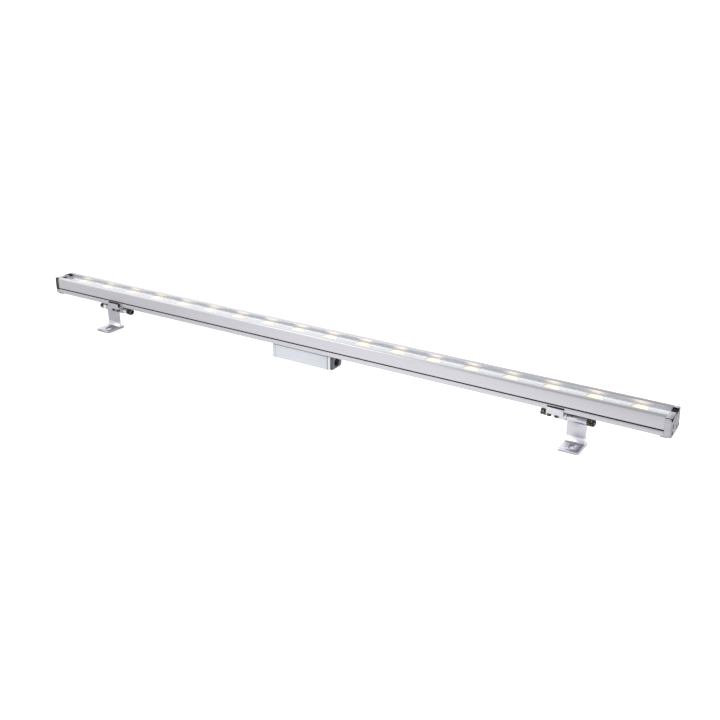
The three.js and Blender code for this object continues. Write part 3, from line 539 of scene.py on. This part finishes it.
def circuit(name, roughness, board, board_top, raised_colour):
    """A circuit board whose raised parts have one colour; board gives its own colour."""
    shader = Shader(name, Roughness=roughness)
    raised = shader.above(shader.world("Z"), board_top)
    shader.set("Base Color", shader.mix(raised, board(shader), raised_colour))
    return shader.material


def white_mask(shader):
    return shader.ramp(shader.noise((400, 400, 400), 3), [
        (0.3, (0.78, 0.78, 0.74)), (0.7, (0.86, 0.86, 0.82))])


def green_mask(shader):
    """Green solder mask over copper tracks."""
    return shader.ramp(shader.noise((60, 600, 600), 2), [
        (0.45, (0.02, 0.12, 0.05)), (0.52, (0.06, 0.25, 0.1))])


LED_BOARD_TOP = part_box("led_board_1")[1].z - 0.4 * MM
DRIVER_BOARD_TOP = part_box("driver_board")[0].z + 1.8 * MM
EMITTER_YELLOW = (0.9, 0.68, 0.12)
COMPONENT_BLACK = (0.05, 0.05, 0.06)

SLOT_MATERIALS = {
    "profile_anodised": extruded_aluminium(
        "profile_anodised", (0.415, 0.408, 0.436), 0.32, profile_painted_light),
    "plate_anodised": extruded_aluminium("plate_anodised", (0.6, 0.6, 0.62), 0.4),
    "bracket_aluminium": extruded_aluminium(
        "bracket_aluminium", (0.46, 0.457, 0.495), 0.3, bracket_painted_light),
    "cast_cap": blasted_casting("cast_cap", (0.37, 0.366, 0.4)),
    "box_coating": coated_metal("box_coating", (0.46, 0.475, 0.51)),
    "black_steel": blackened_steel("black_steel"),
    "zinc_steel": plated_steel("zinc_steel"),
    "seal_rubber": rubber("seal_rubber"),
    # Painted glow: the tray glows with the LEDs' light, though it is no lamp.
    "tray_white": moulded_plastic("tray_white", (0.42, 0.43, 0.445), 0.5, glow=0.17),
    "vent_plastic": moulded_plastic("vent_plastic", (0.02, 0.02, 0.022), 0.5),
    "connector_plastic": moulded_plastic("connector_plastic", (0.05, 0.052, 0.058), 0.4),
    "window_glass": window_glass("window_glass"),
    "lens_clear": lit_lens("lens_clear"),
    "led_board": circuit("led_board", 0.45, white_mask, LED_BOARD_TOP, EMITTER_YELLOW),
    "driver_board": circuit("driver_board", 0.4, green_mask, DRIVER_BOARD_TOP, COMPONENT_BLACK),
}


# ---------- CAD nodes: finish and softened edges ----------

# Bevel widths in millimetres.
EDGE_RADII = {
    "profile": 0.35,
    "window_pane": 0.25,
    "box_housing": 0.8,
    "box_cover_left": 0.35,
    "box_cover_right": 0.35,
    "box_mount_plate": 0.3,
}
for side in ("right", "left"):
    EDGE_RADII[f"{side}_end_cap"] = 0.3
    EDGE_RADII[f"{side}_rear_jaw"] = 0.35
    EDGE_RADII[f"{side}_front_jaw"] = 0.4
    EDGE_RADII[f"{side}_foot_bracket"] = 0.35
DEFAULT_EDGE_RADIUS = 0.12
SMOOTH_ANGLE = math.radians(32)


def finish_cad_node(node, slot):
    piece = NODES[node]
    piece.data.materials.clear()
    piece.data.materials.append(SLOT_MATERIALS[slot])
    weld = piece.modifiers.new("weld", "WELD")
    weld.merge_threshold = 1e-6
    bevel = piece.modifiers.new("edges", "BEVEL")
    bevel.width = EDGE_RADII.get(node, DEFAULT_EDGE_RADIUS) * MM
    bevel.segments = 2
    bevel.limit_method = "ANGLE"
    bevel.angle_limit = SMOOTH_ANGLE
    bevel.harden_normals = True
    piece.data.shade_smooth()


def finish_cad():
    for entry in frame["record"]["subparts"]:
        finish_cad_node(entry["node"], entry["material_slot"])


# ---------- Pieces made here ----------


def mesh_piece(name, build, slot):
    """Makes a mesh object from a function that fills a bmesh."""
    shape = bmesh.new()
    build(shape)
    bmesh.ops.recalc_face_normals(shape, faces=shape.faces)
    data = bpy.data.meshes.new(name)
    shape.to_mesh(data)
    shape.free()
    data.materials.append(SLOT_MATERIALS[slot])
    data.shade_smooth()
    piece = bpy.data.objects.new(name, data)
    bpy.context.scene.collection.objects.link(piece)
    return piece


def lathe(shape, outline, steps):
    """Turns an outline of (radius, height) points about Z; it starts and ends on the axis."""
    angles = [2 * math.pi * step / steps for step in range(steps)]
    rings = []
    for radius, height in outline:
        around = angles if radius else [0]
        rings.append([
            shape.verts.new((radius * math.cos(angle), radius * math.sin(angle), height))
            for angle in around])
    for low, high in zip(rings, rings[1:]):
        for step in range(steps):
            after = (step + 1) % steps
            corners = [low[step % len(low)], low[after % len(low)],
                       high[after % len(high)], high[step % len(high)]]
            unique = list(dict.fromkeys(corners))
            if len(unique) > 2:
                shape.faces.new(unique)


LENS_STEPS = 56
LENS_HOLLOW = [(0, 1.3 * MM), (2.4 * MM, 1.2 * MM), (2.9 * MM, 0.3 * MM), (3.2 * MM, 0)]
LENS_FOOT = 5 * MM
FLARE_STEPS = 5
RIM_HEIGHT = 1.6 * MM
RIM_CHAMFER = 0.4 * MM
RIM_INNER = 9.4 * MM
DISH_DEPTH = 2.2 * MM
DISH_RADIUS = 7.2 * MM
PEAK_HEIGHT = 0.5 * MM
PEAK_STEPS = 6


def lens_outline(radius, height):
    """From the hollow over the emitter up the flared side, over the rim and into the dish,
    whose floor rises a little to the middle."""
    dish = height - DISH_DEPTH
    outline = [*LENS_HOLLOW, (LENS_FOOT, 0)]
    for step in range(FLARE_STEPS):
        part = (step + 1) / FLARE_STEPS
        outline.append((LENS_FOOT + (radius - LENS_FOOT) * part ** 0.8, (height - RIM_HEIGHT) * part))
    outline += [
        (radius, height - RIM_CHAMFER),
        (radius - RIM_CHAMFER, height),
        (RIM_INNER, height),
        (RIM_INNER - 0.3 * MM, height - 0.2 * MM),
        (DISH_RADIUS + 0.3 * MM, dish + 0.1 * MM),
    ]
    for step in range(PEAK_STEPS + 1):
        part = step / PEAK_STEPS
        outline.append((DISH_RADIUS * (1 - part), dish + PEAK_HEIGHT * part))
    return outline


def add_lens(node):
    low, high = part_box(node)
    middle = centre(node)
    outline = lens_outline((high.x - low.x) / 2, high.z - low.z)
    lens = mesh_piece(f"{node}_fine", lambda shape: lathe(shape, outline, LENS_STEPS), "lens_clear")
    lens.location = (middle.x, middle.y, low.z)
    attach(lens, "luminaire")
    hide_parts(node)


# ---------- Stage ----------

FLOOR_SIZE = 120
FLOOR_HEIGHT = -0.2 * MM
FLOOR_GLOW = 0.64
POOL_GLOW = 1.2
POOL_REACH = 0.75
POOL_CENTRE = (0.16, -0.16, 0.0)
CONTACT_REACH = 8 * MM
SKY_LOW = 0.74
SKY_HIGH = 2.05
BRIGHT_BEARING = math.radians(58)
BRIGHT_RISE = 0.25


def floor_material():
    """Pale paper with a painted pool of light in front of the batten's middle and painted contact shadows
    beside the parts that touch it.
    """
    shader = Shader("floor", Base_Color=(0.5, 0.5, 0.5), Roughness=0.9, Specular_IOR_Level=0.0,
                    Emission_Color=(1, 1, 1))
    place = shader.node("ShaderNodeNewGeometry").outputs["Position"]
    reach = shader.node("ShaderNodeVectorMath", {
        0: place, 1: POOL_CENTRE}, operation="DISTANCE").outputs["Value"]
    # Painted light: a brighter pool in front of the batten's middle.
    pool = shader.map(reach, (0.0, POOL_REACH), (POOL_GLOW, FLOOR_GLOW), "SMOOTHSTEP")
    # Painted shadow: the floor darkens where parts stand close over it.
    contact_shadow = shader.node("ShaderNodeAmbientOcclusion", {"Distance": CONTACT_REACH}).outputs["AO"]
    shade = shader.map(contact_shadow, (0.3, 0.9), (0.15, 1.0))
    shader.set("Emission Strength", shader.multiply(pool, shade))
    return shader.material


def add_floor():
    bpy.ops.mesh.primitive_plane_add(size=FLOOR_SIZE, location=(0, 0, FLOOR_HEIGHT))
    floor = bpy.context.object
    floor.name = "floor"
    floor.data.materials.append(floor_material())


def add_world():
    """A white studio, brighter behind and to the left of the batten."""
    world = bpy.data.worlds.new("studio")
    bpy.context.scene.world = world
    world.use_nodes = True
    nodes = Nodes(world.node_tree)
    direction = nodes.node("ShaderNodeTexCoord").outputs["Generated"]
    bright = Vector((-math.sin(BRIGHT_BEARING), math.cos(BRIGHT_BEARING), BRIGHT_RISE)).normalized()
    facing = nodes.node("ShaderNodeVectorMath", {
        0: direction, 1: bright}, operation="DOT_PRODUCT").outputs["Value"]
    level = nodes.map(facing, (0.34, 0.9), (SKY_LOW, SKY_HIGH), "SMOOTHSTEP")
    background = world.node_tree.nodes["Background"]
    background.inputs["Color"].default_value = (1, 1, 1, 1)
    world.node_tree.links.new(level, background.inputs["Strength"])


def add_area(name, location, target, size, power):
    light = bpy.data.objects.new(name, bpy.data.lights.new(name, "AREA"))
    light.data.shape = "RECTANGLE"
    light.data.size = size[0]
    light.data.size_y = size[1]
    light.data.energy = power
    light.location = location
    direction = Vector(target) - Vector(location)
    light.rotation_mode = "QUATERNION"
    light.rotation_quaternion = direction.to_track_quat("-Z", "Y")
    bpy.context.scene.collection.objects.link(light)


def add_stage():
    add_floor()
    add_world()
    add_area("card", (-0.85, -1.5, 1.0), (0.2, 0, 0.1), (1.5, 1.8), 20)


# ---------- The scene ----------

bpy.context.scene.view_settings.view_transform = "Standard"
add_camera()
add_stage()
finish_cad()
for lens_node in LENS_NODES:
    add_lens(lens_node)
